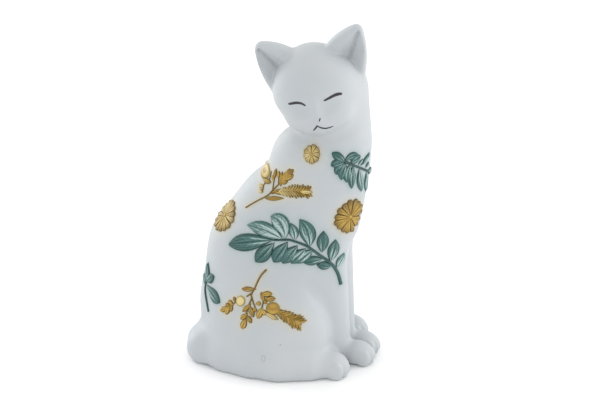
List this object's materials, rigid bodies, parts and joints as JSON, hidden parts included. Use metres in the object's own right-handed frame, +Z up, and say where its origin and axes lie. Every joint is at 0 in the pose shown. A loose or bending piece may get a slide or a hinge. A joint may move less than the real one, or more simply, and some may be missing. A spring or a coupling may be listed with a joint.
{
  "type": "figurine",
  "caption": "White ceramic figurine of a seated cat looking back over its flank, with green fronds and gold flowers in low relief.",
  "frame": {"origin": "on the flat base, in the body's plane of symmetry, under the middle of the belly", "axes": "+X the way the chest points, -Y out of the right flank that the head looks over, +Z up"},
  "size_m": [0.1127, 0.0915, 0.2045],
  "materials": {
    "white_glaze": "matte",
    "green_glaze": "matte",
    "gold_glaze": "matte"
  },
  "bodies": {
    "root": {"torso_shell": "white_glaze", "head_shell": "white_glaze", "ear_left": "white_glaze", "ear_right": "white_glaze", "forelegs": "white_glaze", "front_paw_left": "white_glaze", "front_paw_right": "white_glaze", "hind_paw_left": "white_glaze", "hind_paw_right": "white_glaze", "tail": "white_glaze", "frond_flank": "green_glaze", "fern_chest": "green_glaze", "leaf_rump": "green_glaze", "frond_flank_far": "green_glaze", "leaf_rump_far": "green_glaze", "daisy_chest": "gold_glaze", "daisy_back": "gold_glaze", "star_flower_throat": "gold_glaze", "gold_sprig_shoulder": "gold_glaze", "gold_sprig_haunch": "gold_glaze", "gold_sprig_shoulder_far": "gold_glaze", "gold_sprig_haunch_far": "gold_glaze"}
  },
  "joints": []
}
